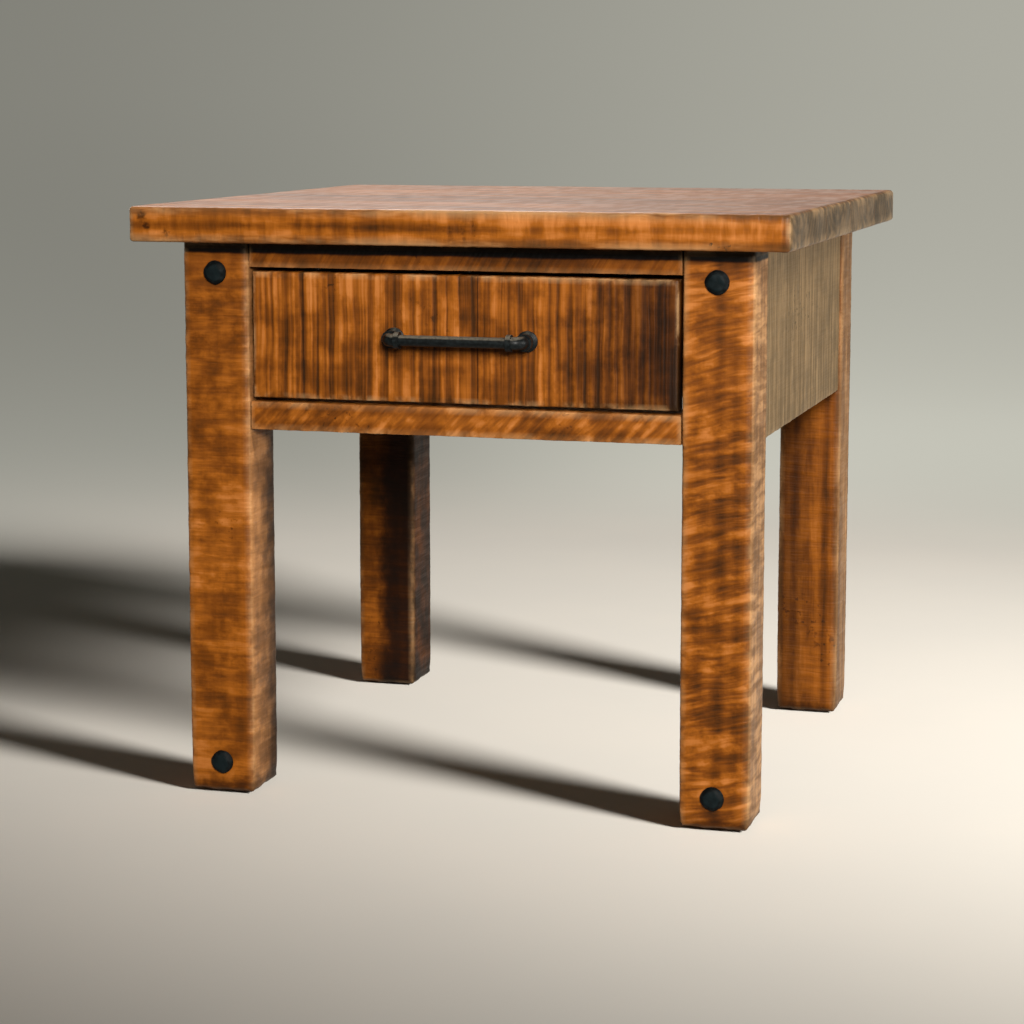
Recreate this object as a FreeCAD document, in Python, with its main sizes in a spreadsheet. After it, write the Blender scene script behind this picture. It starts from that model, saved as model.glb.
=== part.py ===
import FreeCAD, Part
import os
import re

import Sketcher
from FreeCAD import Rotation, Vector

# Rustic side table with one drawer, in solid wood.
#
# Four square legs are tied together by two side aprons, a back apron and two flat front rails, all tenoned
# into the legs, and carry a thick top of four edge-glued boards.  A dovetailed drawer with an applied front
# runs on two full-extension ball-bearing slides.  Its iron pull is a bar between two pipe elbows, and four
# domed iron studs are driven into the front legs.
#
# Millimetres.  +Z is up, the front faces -Y, and the origin is on the floor under the middle of the top.
# Right-hand pieces are modelled, and the left-hand ones are their mirror images.

SIZES = [
    ("table_height", 610, "floor to the upper face of the top"),
    ("top_width", 674, "left to right"),
    ("top_depth", 674, "front to back"),
    ("top_thick", 37, "thickness of the top boards"),
    ("front_board", 200, "width of the first top board, at the front"),
    ("second_board", 152, "width of the second top board"),
    ("third_board", 170, "width of the third; the fourth takes the rest"),
    ("top_round", 4, "rounding of the top's outer edges"),
    ("frame_width", 592, "over the legs, left to right"),
    ("frame_depth", 596, "over the legs, front to back"),
    ("leg_size", 72, "square section of a leg"),
    ("leg_round", 5, "rounding of a leg's long edges"),
    ("foot_chamfer", 5, "chamfer round the foot of a leg"),
    ("apron_height", 191, "top of the leg down to the apron's lower edge"),
    ("apron_thick", 22, "thickness of the side and back aprons"),
    ("face_inset", 3, "leg faces to the faces of aprons, rails and drawer front"),
    ("tenon_length", 30, "tenon into a leg"),
    ("tenon_thick", 10, "tenon thickness"),
    ("tenon_shoulder", 15, "apron edge to tenon edge"),
    ("rail_depth", 60, "front rails, front to back"),
    ("rail_shoulder", 10, "front rail edge to tenon edge"),
    ("lower_rail", 30, "height of the rail under the drawer"),
    ("opening_height", 135, "drawer opening between the front rails"),
    ("block_height", 70, "block that carries a slide"),
    ("block_screw_inset", 6, "block edge to the screws above and below the slide"),
    ("cleat_width", 45, "cleat under the top"),
    ("cleat_height", 25, "cleat under the top"),
    ("cleat_length", 440, "cleat under the top"),
    ("corner_reach", 76, "corner block's foot along each apron, from the leg"),
    ("corner_height", 30, "height of a corner block"),
    ("corner_lift", 6, "apron's lower edge to the corner block"),
    ("stud_radius", 12.75, "head of a decorative stud"),
    ("stud_rim", 1.5, "straight rim of the stud's head"),
    ("stud_dome", 5, "height of the dome on the rim"),
    ("stud_shank", 3, "radius of the stud's shank"),
    ("stud_length", 28, "length of the shank in the leg"),
    ("stud_side", 37, "leg's outer side to the stud"),
    ("stud_drop", 31, "top of the leg to the upper stud"),
    ("stud_rise", 34, "floor to the lower stud"),
    ("slide_length", 457, "length of a closed slide"),
    ("slide_thick", 12.7, "thickness of a slide"),
    ("slide_height", 45, "height of the slide's outer member"),
    ("slide_metal", 1.2, "sheet steel of the three members"),
    ("slide_centre", 470, "middle line of a slide above the floor"),
    ("slide_setback", 3, "back of the drawer front to the slide's front end"),
    ("ball_radius", 1.9, "bearing ball"),
    ("ball_room", 0.15, "clearance round a ball"),
    ("ball_pitch", 36, "spacing of the balls along a cage"),
    ("cage_metal", 0.6, "sheet steel of a ball cage"),
    ("cage_start", 120, "slide's front end to the front of a cage"),
    ("cage_length", 215, "length of a ball cage"),
    ("drawer_gap", 3, "gap all round the drawer front"),
    ("front_thick", 22, "thickness of the drawer front"),
    ("front_round", 2.5, "rounding of the drawer front's outer edges"),
    ("box_lift", 8, "drawer front's lower edge to the box"),
    ("box_height", 105, "height of the drawer box"),
    ("box_length", 457, "length of the drawer box"),
    ("box_wall", 13, "thickness of the drawer box's boards"),
    ("panel_thick", 6, "thickness of the drawer bottom"),
    ("panel_tongue", 6, "how far the bottom enters its grooves"),
    ("panel_lift", 10, "box's lower edge to the bottom"),
    ("tail_root", 21, "width of a dovetail at its root"),
    ("tail_flare", 2.2, "widening of a dovetail on each side"),
    ("pull_centres", 138, "spacing of the pull's two posts"),
    ("pull_height", 480, "middle line of the pull above the floor"),
    ("pull_stand", 25, "drawer face to the bar's middle line"),
    ("bar_radius", 5.5, "bar and posts of the pull"),
    ("elbow_radius", 6.5, "pipe elbow of the pull"),
    ("bend_radius", 9, "middle line of the elbow's bend"),
    ("collar_radius", 8.5, "bead at each mouth of an elbow"),
    ("collar_length", 5, "bead at each mouth of an elbow"),
    ("flange_radius", 10.5, "round foot of a post on the drawer front"),
    ("flange_thick", 4, "round foot of a post"),
    ("flange_slope", 1.5, "how much the foot stays wider than the post"),
    ("screw_room", 0.2, "clearance round every screw and stud"),
]

SHEET = "Sizes"
ALIASES = {alias for alias, value, note in SIZES}

doc = FreeCAD.newDocument("side_table")
sheet = doc.addObject("Spreadsheet::Sheet", SHEET)
for row, (alias, value, note) in enumerate(SIZES, start=1):
    sheet.set(f"A{row}", alias)
    sheet.set(f"B{row}", str(value))
    sheet.set(f"C{row}", note)
    sheet.setAlias(f"B{row}", alias)
doc.recompute()

# Places that several pieces share, as formulas over the sheet.
LEG_TOP = "(table_height - top_thick)"
LEG_OUTER_X = "(frame_width/2)"
LEG_INNER_X = "(frame_width/2 - leg_size)"
LEG_FRONT = "(-frame_depth/2)"
LEG_BACK = "(frame_depth/2 - leg_size)"
BETWEEN_LEGS_X = "(frame_width - 2*leg_size)"
BETWEEN_LEGS_Y = "(frame_depth - 2*leg_size)"
APRON_BOTTOM = "(table_height - top_thick - apron_height)"
APRON_INNER_X = "(frame_width/2 - face_inset - apron_thick)"
APRON_INNER_Y = "(frame_depth/2 - face_inset - apron_thick)"
LEG_TO_APRON = "(leg_size - face_inset - apron_thick)"
FACE_Y = "(face_inset - frame_depth/2)"
OPENING_BOTTOM = f"({APRON_BOTTOM} + lower_rail)"
OPENING_TOP = f"({APRON_BOTTOM} + lower_rail + opening_height)"
UPPER_RAIL = "(apron_height - lower_rail - opening_height)"
BOX_Y = "(face_inset - frame_depth/2 + front_thick)"
BOX_INSIDE_Y = "(face_inset - frame_depth/2 + front_thick + box_wall)"
BOX_SIDE = "(frame_width/2 - leg_size - slide_thick)"
BOX_BOTTOM = f"({APRON_BOTTOM} + lower_rail + drawer_gap + box_lift)"
SLIDE_Y = "(face_inset - frame_depth/2 + front_thick + slide_setback)"

RIGHT, LEFT, FRONT, BACK, UP = (1, 0, 0), (-1, 0, 0), (0, -1, 0), (0, 1, 0), (0, 0, 1)

# ---------------------------------------------------------------- helpers


def formula(text):
    """The text with the name of every size turned into a reference to its cell."""
    def refer(match):
        word = match.group()
        return f"{SHEET}.{word}" if word in ALIASES else word
    return re.sub(r"[a-z_]+", refer, text)


def number(text):
    """The value that a formula has now."""
    return float(sheet.evalExpression(formula(text)))


def bind(piece, prop, text):
    """Sets a property by a formula."""
    piece.setExpression(prop, formula(text))


def place(piece, corner):
    """Binds a piece's position to three formulas."""
    for axis, text in zip("xyz", corner):
        bind(piece, f"Placement.Base.{axis}", text)


def aim(piece, along):
    """Turns a piece so that its own Z axis runs along a direction."""
    piece.Placement.Rotation = Rotation(Vector(0, 0, 1), Vector(*along))


def board(name, size, corner):
    """A squared board, by its sizes along X, Y and Z and its lowest corner."""
    piece = doc.addObject("Part::Box", name)
    for side, text in zip(("Length", "Width", "Height"), size):
        bind(piece, side, text)
    place(piece, corner)
    return piece


def rod(name, radius, length, start, along):
    """A round bar that begins at start and runs along a direction."""
    piece = doc.addObject("Part::Cylinder", name)
    bind(piece, "Radius", radius)
    bind(piece, "Height", length)
    aim(piece, along)
    place(piece, start)
    return piece


def taper(name, radii, length, start, along):
    """A round bar whose radius changes evenly from the first radius to the second."""
    piece = doc.addObject("Part::Cone", name)
    bind(piece, "Radius1", radii[0])
    bind(piece, "Radius2", radii[1])
    bind(piece, "Height", length)
    aim(piece, along)
    place(piece, start)
    return piece


def fuse(name, *pieces):
    """Several shapes joined into one solid."""
    joined = doc.addObject("Part::MultiFuse", name)
    joined.Shapes = list(pieces)
    joined.Refine = True
    return joined


def group(name, pieces):
    """Several separate solids kept in one object."""
    kept = doc.addObject("Part::Compound", name)
    kept.Links = list(pieces)
    return kept


def cut(name, base, *tools):
    """The base with every tool taken away."""
    for count, tool in enumerate(tools, start=1):
        last = count == len(tools)
        result = doc.addObject("Part::Cut", name if last else f"{name}_step_{count}")
        result.Base = base
        result.Tool = tool
        result.Refine = True
        base = result
    return base


def mirrored(name, source):
    """The left-hand twin of a right-hand piece."""
    twin = doc.addObject("Part::Mirroring", name)
    twin.Source = source
    twin.Normal = Vector(1, 0, 0)
    return twin


def pin_corner(sketch, line, direction, axis, text):
    """Holds the start of a line at a formula's distance from one sketch axis."""
    if text == "0":
        sketch.addConstraint(Sketcher.Constraint("PointOnObject", line, 1, axis))
        return
    index = sketch.addConstraint(Sketcher.Constraint(direction, -1, 1, line, 1, number(text)))
    bind(sketch, f"Constraints[{index}]", text)


def outline(body, plane, corners):
    """A closed outline of straight lines on one of the body's base planes, its corners bound to formulas."""
    sketch = body.newObject("Sketcher::SketchObject", f"{body.Name}_outline")
    base = next(item for item in body.Origin.OriginFeatures if item.Role == plane)
    sketch.AttachmentSupport = [(base, "")]
    sketch.MapMode = "FlatFace"
    points = [Vector(number(across), number(up), 0) for across, up in corners]
    for here, there in zip(points, points[1:] + points[:1]):
        sketch.addGeometry(Part.LineSegment(here, there), False)
    for line in range(len(points)):
        sketch.addConstraint(Sketcher.Constraint("Coincident", line, 2, (line + 1) % len(points), 1))
    for line, (across, up) in enumerate(corners):
        pin_corner(sketch, line, "DistanceX", -2, across)
        pin_corner(sketch, line, "DistanceY", -1, up)
    return sketch


def extrusion(name, plane, corners, length, backwards=False):
    """A body padded from an outline."""
    body = doc.addObject("PartDesign::Body", name)
    sketch = outline(body, plane, corners)
    pad = body.newObject("PartDesign::Pad", f"{name}_pad")
    pad.Profile = sketch
    pad.Reversed = backwards
    bind(pad, "Length", length)
    doc.recompute()
    return body


def rectangle(width, height):
    """Corners of a rectangle that starts at the sketch's origin."""
    return [("0", "0"), (width, "0"), (width, height), ("0", height)]


def near(one, other):
    return abs(one - other) < 1e-6


def dress(body, kind, size, amount, picks):
    """Fillets or chamfers the edges of a body whose two ends pass a test."""
    base = body.Tip
    names = []
    for index, edge in enumerate(base.Shape.Edges, start=1):
        start, end = (vertex.Point for vertex in edge.Vertexes)
        if picks(start, end):
            names.append(f"Edge{index}")
    feature = body.newObject(f"PartDesign::{kind}", f"{body.Name}_{kind.lower()}")
    feature.Base = (base, names)
    bind(feature, size, amount)
    doc.recompute()


parts = {}


def keep(name, piece):
    """Takes a finished piece into the model under its node name."""
    parts[name] = piece


def keep_pair(name, right):
    """Takes a right-hand piece and its left-hand twin."""
    keep(f"{name}_right", right)
    keep(f"{name}_left", mirrored(f"{name}_twin", right))


def keep_both_sides(name, *rights):
    """Takes like fasteners of both sides as one node of separate solids."""
    lefts = [mirrored(f"{name}_twin_{count}", right) for count, right in enumerate(rights, start=1)]
    keep(name, group(f"{name}_all", [*rights, *lefts]))


# ---------------------------------------------------------------- screws

# Shank radius, head radius and head height of each kind of pan-head screw.
PAN_HEADS = {"wood": (1.9, 4.2, 2.4), "machine": (2.0, 4.5, 2.8), "lag": (3.0, 7.0, 4.5)}
FLAT_SHANK, FLAT_HEAD = 1.75, 3.4


def opposite(along):
    return tuple(-part for part in along)


def pan_screws(name, kind, starts, along, length):
    """Like screws whose heads stand on their starts, and the clearance holes for their shanks."""
    shank, head, head_height = PAN_HEADS[kind]
    screws, holes = [], []
    for count, start in enumerate(starts, start=1):
        screws.append(fuse(
            f"{name}_{count}",
            rod(f"{name}_{count}_shank", str(shank), str(length), start, along),
            rod(f"{name}_{count}_head", str(head), str(head_height), start, opposite(along)),
        ))
        holes.append(rod(f"{name}_{count}_hole", f"({shank} + screw_room)", f"({length} + 1)", start, along))
    return group(name, screws), group(f"{name}_holes", holes)


def flat_screws(name, starts, along, length):
    """Flat-head screws whose cones lie in the sheet metal behind their starts, and their holes."""
    made = {}
    for purpose, room in (("screw", "0"), ("hole", "screw_room")):
        made[purpose] = [
            fuse(
                f"{name}_{count}_{purpose}",
                taper(f"{name}_{count}_{purpose}_head",
                      (f"({FLAT_SHANK} + {room})", f"({FLAT_HEAD} + {room})"),
                      "slide_metal", start, opposite(along)),
                rod(f"{name}_{count}_{purpose}_shank", f"({FLAT_SHANK} + {room})", f"({length} + {room})",
                    start, along),
            )
            for count, start in enumerate(starts, start=1)
        ]
    return group(name, made["screw"]), group(f"{name}_holes", made["hole"])


# ---------------------------------------------------------------- top

BOARD_WIDTHS = ["front_board", "second_board", "third_board"]
BOARD_WIDTHS.append("(top_depth - front_board - second_board - third_board)")


def top_slab():
    """The whole top as one slab, rounded along every outer edge."""
    body = extrusion("top_slab", "XY_Plane", rectangle("top_width", "top_depth"), "top_thick")
    dress(body, "Fillet", "Radius", "top_round", lambda start, end: True)
    place(body, ("(-top_width/2)", "(-top_depth/2)", LEG_TOP))
    return body


def top_boards(*holes):
    """The slab split at its glue joints, with the grain from left to right, drilled from below."""
    slab = top_slab()
    front = "(-top_depth/2)"
    boards = []
    for count, width in enumerate(BOARD_WIDTHS, start=1):
        strip = board(f"top_strip_{count}", ("top_width", width, "top_thick"), ("(-top_width/2)", front, LEG_TOP))
        share = doc.addObject("Part::Common", f"top_share_{count}")
        share.Base = slab
        share.Tool = strip
        boards.append(cut(f"top_plank_{count}", share, *holes))
        front = f"({front} + {width})"
    return boards


def top_cleat():
    """Right-hand cleat along the side apron, under the top."""
    return board(
        "cleat_blank", ("cleat_width", "cleat_length", "cleat_height"),
        (f"({APRON_INNER_X} - cleat_width)", "(-cleat_length/2)", f"({LEG_TOP} - cleat_height)"),
    )


def cleat_screws():
    """Screws up into every top board, and screws sideways into the apron."""
    middle = f"({APRON_INNER_X} - cleat_width/2)"
    underside = f"({LEG_TOP} - cleat_height)"
    up_starts = [(middle, y, underside) for y in ("-200", "-60", "100", "205")]
    face = f"({APRON_INNER_X} - cleat_width)"
    level = f"({LEG_TOP} - cleat_height/2)"
    side_starts = [(face, y, level) for y in ("-130", "20", "150")]
    upward = pan_screws("cleat_top_screws", "wood", up_starts, UP, 48)
    sideways = pan_screws("cleat_side_screws", "wood", side_starts, RIGHT, 60)
    return upward, sideways


# ---------------------------------------------------------------- leg frame


def side_apron():
    """Right-hand apron: a board between the legs with a tongue into each of them."""
    plank = board("side_apron_board", ("apron_thick", BETWEEN_LEGS_Y, "apron_height"),
                  (APRON_INNER_X, f"(-{BETWEEN_LEGS_Y}/2)", APRON_BOTTOM))
    tongue = board(
        "side_apron_tongue",
        ("tenon_thick", f"({BETWEEN_LEGS_Y} + 2*tenon_length)", "(apron_height - 2*tenon_shoulder)"),
        (f"({APRON_INNER_X} + (apron_thick - tenon_thick)/2)", f"(-{BETWEEN_LEGS_Y}/2 - tenon_length)",
         f"({APRON_BOTTOM} + tenon_shoulder)"),
    )
    return fuse("side_apron_blank", plank, tongue)


def back_apron():
    """Back apron, made as the side ones are."""
    plank = board("back_apron_board", (BETWEEN_LEGS_X, "apron_thick", "apron_height"),
                  (f"(-{BETWEEN_LEGS_X}/2)", APRON_INNER_Y, APRON_BOTTOM))
    tongue = board(
        "back_apron_tongue",
        (f"({BETWEEN_LEGS_X} + 2*tenon_length)", "tenon_thick", "(apron_height - 2*tenon_shoulder)"),
        (f"(-{BETWEEN_LEGS_X}/2 - tenon_length)", f"({APRON_INNER_Y} + (apron_thick - tenon_thick)/2)",
         f"({APRON_BOTTOM} + tenon_shoulder)"),
    )
    return fuse("back_apron_solid", plank, tongue)


def front_rail(name, bottom, height):
    """A flat rail across the front, above or below the drawer."""
    plank = board(f"{name}_board", (BETWEEN_LEGS_X, "rail_depth", height),
                  (f"(-{BETWEEN_LEGS_X}/2)", FACE_Y, bottom))
    tongue = board(
        f"{name}_tongue",
        (f"({BETWEEN_LEGS_X} + 2*tenon_length)", "(rail_depth - 2*rail_shoulder)", "tenon_thick"),
        (f"(-{BETWEEN_LEGS_X}/2 - tenon_length)", f"({FACE_Y} + rail_shoulder)",
         f"({bottom} + ({height} - tenon_thick)/2)"),
    )
    return fuse(f"{name}_blank", plank, tongue)


def leg(name, front):
    """A right-hand leg before its mortises, rounded along its length and chamfered at the foot."""
    body = extrusion(name, "XY_Plane", rectangle("leg_size", "leg_size"), LEG_TOP)
    dress(body, "Fillet", "Radius", "leg_round",
          lambda start, end: near(start.x, end.x) and near(start.y, end.y))
    dress(body, "Chamfer", "Size", "foot_chamfer", lambda start, end: near(start.z, 0) and near(end.z, 0))
    place(body, (LEG_INNER_X, front, "0"))
    return body


def slide_block():
    """Right-hand block that fills from the apron to the leg's inner face, to carry the slide."""
    return board("slide_block_blank", (LEG_TO_APRON, BETWEEN_LEGS_Y, "block_height"),
                 (LEG_INNER_X, f"(-{BETWEEN_LEGS_Y}/2)", "(slide_centre - block_height/2)"))


def block_screws():
    """Screws through the block into the apron, above and below the slide."""
    heights = ("(slide_centre - block_height/2 + block_screw_inset)",
               "(slide_centre + block_height/2 - block_screw_inset)")
    starts = [(LEG_INNER_X, y, z) for y in ("-170", "170") for z in heights]
    return pan_screws("block_side_screws", "wood", starts, RIGHT, 62)


def corner_block():
    """Right-hand block across the back corner, notched round the leg."""
    far = f"({LEG_TO_APRON} + corner_reach)"
    leg_side = "corner_reach"
    corners = [(far, leg_side), (leg_side, leg_side), (leg_side, far), ("0", far), (far, "0")]
    body = extrusion("corner_block_blank", "XY_Plane", corners, "corner_height")
    place(body, (f"({APRON_INNER_X} - {far})", f"({APRON_INNER_Y} - {far})",
                 f"({APRON_BOTTOM} + corner_lift)"))
    return body


def corner_bolt():
    """Lag screw through the corner block into the leg."""
    inward = f"(({LEG_TO_APRON} + corner_reach)/2)"
    start = (f"({APRON_INNER_X} - {inward})", f"({APRON_INNER_Y} - {inward})",
             f"({APRON_BOTTOM} + corner_lift + corner_height/2)")
    return pan_screws("corner_lag", "lag", [start], (0.5 ** 0.5, 0.5 ** 0.5, 0), 60)


def rail_screws():
    """Screws up through the upper front rail into the first top board."""
    middle = f"({FACE_Y} + rail_depth/2)"
    starts = [(x, middle, OPENING_TOP) for x in ("-160", "0", "160")]
    return pan_screws("rail_top_screws", "wood", starts, UP, 48)


def stud(name, height):
    """A domed iron stud on the face of the right front leg, and the hole for its shank."""
    x = f"({LEG_OUTER_X} - stud_side)"
    start = (x, LEG_FRONT, height)
    ball = "((stud_radius^2 + stud_dome^2)/(2*stud_dome))"
    dome = doc.addObject("Part::Sphere", f"{name}_dome")
    bind(dome, "Radius", ball)
    bind(dome, "Angle1", f"asin(({ball} - stud_dome)/{ball})")
    aim(dome, FRONT)
    place(dome, (x, f"({LEG_FRONT} - stud_rim + {ball} - stud_dome)", height))
    solid = fuse(
        name, dome,
        rod(f"{name}_rim", "stud_radius", "stud_rim", start, FRONT),
        rod(f"{name}_shank", "stud_shank", "stud_length", start, BACK),
    )
    hole = rod(f"{name}_hole", "(stud_shank + screw_room)", "(stud_length + 1)", start, BACK)
    return solid, hole


# ---------------------------------------------------------------- slides

# Distances from a slide's middle line up to the faces that the balls run on, and to the two rows of balls.
OUTER_TRACK = "(slide_height/2 - slide_metal)"
OUTER_ROW = f"({OUTER_TRACK} - ball_room - ball_radius)"
MIDDLE_TRACK = f"({OUTER_ROW} - ball_radius - ball_room)"
MIDDLE_INSIDE = f"({MIDDLE_TRACK} - slide_metal)"
INNER_ROW = f"({MIDDLE_INSIDE} - ball_room - ball_radius)"
INNER_TRACK = f"({INNER_ROW} - ball_radius - ball_room)"


def channel(name, upper, length, start):
    """A rolled channel: the upper half of its section as (depth from the leg, height above the middle)."""
    half = "slide_height/2"
    corners = [(f"(slide_thick - {depth})", f"({half} + {height})") for depth, height in upper]
    corners += [(f"(slide_thick - {depth})", f"({half} - {height})") for depth, height in reversed(upper)]
    body = extrusion(name, "XZ_Plane", corners, length, backwards=True)
    place(body, (BOX_SIDE, start, "(slide_centre - slide_height/2)"))
    return body


def outer_member():
    """Channel on the leg and the block, with lips that keep the balls in."""
    lip = f"({OUTER_TRACK} - 0.9)"
    return channel("outer_member_blank", [
        ("0", "slide_height/2"), ("9.6", "slide_height/2"), ("9.6", lip),
        ("8.6", lip), ("8.6", OUTER_TRACK), ("slide_metal", OUTER_TRACK),
    ], "slide_length", SLIDE_Y)


def middle_member():
    """Channel between the other two, which travels half as far as the drawer."""
    lip = f"({MIDDLE_INSIDE} - 1.1)"
    return channel("middle_member_solid", [
        ("3.0", MIDDLE_TRACK), ("11.4", MIDDLE_TRACK), ("11.4", lip),
        ("10.5", lip), ("10.5", MIDDLE_INSIDE), ("(3.0 + slide_metal)", MIDDLE_INSIDE),
    ], "slide_length", SLIDE_Y)


def inner_member():
    """Channel on the drawer side, turned towards the other two."""
    lip = f"({INNER_TRACK} + 1.0)"
    inside = f"({INNER_TRACK} - slide_metal)"
    return channel("inner_member_blank", [
        ("slide_thick", INNER_TRACK), ("6.3", INNER_TRACK), ("6.3", lip),
        ("5.4", lip), ("5.4", inside), ("(slide_thick - slide_metal)", inside),
    ], "slide_length", SLIDE_Y)


def ball_cage(name, web, reach, row, depth):
    """A bent strip between two members with a hole round every ball, and its twelve balls."""
    start = f"({SLIDE_Y} + cage_start)"
    strip = channel(f"{name}_strip", [
        (web, f"({row} + cage_metal/2)"), (reach, f"({row} + cage_metal/2)"),
        (reach, f"({row} - cage_metal/2)"), (f"({web} + cage_metal)", f"({row} - cage_metal/2)"),
    ], "cage_length", start)
    balls, holes = [], []
    x = f"({LEG_INNER_X} - {depth})"
    for side in "+-":
        height = f"(slide_centre {side} {row})"
        for count in range(6):
            label = f"{name}_{len(balls) + 1}"
            y = f"({start} + (cage_length - 5*ball_pitch)/2 + {count}*ball_pitch)"
            ball = doc.addObject("Part::Sphere", f"{label}_ball")
            bind(ball, "Radius", "ball_radius")
            place(ball, (x, y, height))
            balls.append(ball)
            holes.append(rod(f"{label}_hole", "(ball_radius + ball_room)", "4*cage_metal",
                             (x, y, f"({height} - 2*cage_metal)"), UP))
    cage = cut(f"{name}_cage", strip, group(f"{name}_holes", holes))
    return cage, group(f"{name}_balls", balls)


def slide_frame_screws():
    """Flat-head screws that hold the outer member: one in the leg and two in the block."""
    starts = [(LEG_INNER_X, f"({SLIDE_Y} + {y})", "slide_centre") for y in (30, 250, 420)]
    return flat_screws("slide_frame_side", starts, RIGHT, 16)


def slide_drawer_screws():
    """Flat-head screws that hold the inner member to the drawer side."""
    starts = [(BOX_SIDE, f"({SLIDE_Y} + {y})", "slide_centre") for y in (40, 230, 410)]
    return flat_screws("slide_drawer_side", starts, LEFT, 10)


# ---------------------------------------------------------------- drawer

TAILS = 3


def dovetails(end, root):
    """Corners of one dovetailed end of a drawer side, from its lower edge up."""
    corners = []
    for count in range(TAILS):
        low = f"({count}*box_height/{TAILS} + (box_height/{TAILS} - tail_root)/2)"
        high = f"({low} + tail_root)"
        corners += [(root, low), (end, f"({low} - tail_flare)"), (end, f"({high} + tail_flare)"), (root, high)]
    return corners


def drawer_side(bottom, holes):
    """Right-hand drawer side with dovetails at both ends and a groove for the bottom."""
    back_root = "(box_length - box_wall)"
    corners = [("box_wall", "0"), (back_root, "0"), *dovetails("box_length", back_root)]
    corners += [(back_root, "box_height"), ("box_wall", "box_height"), *reversed(dovetails("0", "box_wall"))]
    body = extrusion("drawer_side_blank", "YZ_Plane", corners, "box_wall")
    place(body, (f"({BOX_SIDE} - box_wall)", BOX_Y, BOX_BOTTOM))
    return cut("drawer_side_solid", body, bottom, holes)


def drawer_bottom():
    """Bottom panel, let into grooves on all four sides."""
    half = f"({BOX_SIDE} - box_wall + panel_tongue)"
    return board("drawer_bottom_solid",
                 (f"(2*{half})", "(box_length - 2*box_wall + 2*panel_tongue)", "panel_thick"),
                 (f"(-{half})", f"({BOX_INSIDE_Y} - panel_tongue)", f"({BOX_BOTTOM} + panel_lift)"))


def box_end(name, front, *tools):
    """Front or back board of the box, with pins left between the tails of the sides."""
    blank = board(f"{name}_blank", (f"(2*{BOX_SIDE})", "box_wall", "box_height"),
                  (f"(-{BOX_SIDE})", front, BOX_BOTTOM))
    return cut(f"{name}_solid", blank, *tools)


def drawer_front(*holes):
    """Applied front, rounded round its outer face."""
    width = f"({BETWEEN_LEGS_X} - 2*drawer_gap)"
    height = "(opening_height - 2*drawer_gap)"
    body = extrusion("drawer_front_blank", "XZ_Plane", rectangle(width, height), "front_thick", backwards=True)
    dress(body, "Fillet", "Radius", "front_round", lambda start, end: near(start.y, 0) and near(end.y, 0))
    place(body, (f"(-{width}/2)", FACE_Y, f"({OPENING_BOTTOM} + drawer_gap)"))
    return cut("drawer_front_solid", body, *holes)


def drawer_front_screws():
    """Screws from inside the box that hold the applied front."""
    heights = ("(pull_height - 34)", "(pull_height + 34)")
    starts = [(x, BOX_INSIDE_Y, z) for x in ("-150", "150") for z in heights]
    return pan_screws("drawer_face_screws", "wood", starts, FRONT, 29)


# ---------------------------------------------------------------- pull

POST_X = "(pull_centres/2)"
BAR_Y = f"({FACE_Y} - pull_stand)"
BAR_END = "(pull_centres/2 - bend_radius)"


def pull_screws():
    """Machine screws from inside the box, through both fronts and the flange into the post."""
    starts = [(x, BOX_INSIDE_Y, "pull_height") for x in (f"(-{POST_X})", POST_X)]
    return pan_screws("pull_post_screws", "machine", starts, FRONT, 45)


def pull_flange():
    """Round foot of a post: a disc that narrows towards the post."""
    half = "(flange_thick/2)"
    return fuse(
        "pull_flange_blank",
        rod("pull_flange_disc", "flange_radius", half, (POST_X, FACE_Y, "pull_height"), FRONT),
        taper("pull_flange_cone", ("flange_radius", "(bar_radius + flange_slope)"), half,
              (POST_X, f"({FACE_Y} - {half})", "pull_height"), FRONT),
    )


def pull_post():
    """Short pipe from the flange into the elbow."""
    return rod("pull_post_blank", "bar_radius", "(pull_stand - bend_radius - flange_thick)",
               (POST_X, f"({FACE_Y} - flange_thick)", "pull_height"), FRONT)


def pull_bar():
    """Straight bar from one elbow to the other."""
    return rod("pull_bar_solid", "bar_radius", f"(2*{BAR_END})", (f"(-{BAR_END})", BAR_Y, "pull_height"), RIGHT)


def pull_elbow():
    """Pipe elbow with a bead at each mouth."""
    centre_y = f"({BAR_Y} + bend_radius)"
    bend = doc.addObject("Part::Torus", "pull_elbow_bend")
    bind(bend, "Radius1", "bend_radius")
    bind(bend, "Radius2", "elbow_radius")
    bend.Angle3 = 90
    bend.Placement.Rotation = Rotation(Vector(0, 0, 1), -90)
    place(bend, (BAR_END, centre_y, "pull_height"))
    post_bead = rod("pull_elbow_post_bead", "collar_radius", "collar_length",
                    (POST_X, centre_y, "pull_height"), BACK)
    bar_bead = rod("pull_elbow_bar_bead", "collar_radius", "collar_length",
                   (BAR_END, BAR_Y, "pull_height"), LEFT)
    return fuse("pull_elbow_blank", bend, post_bead, bar_bead)


# ---------------------------------------------------------------- assembly


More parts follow.
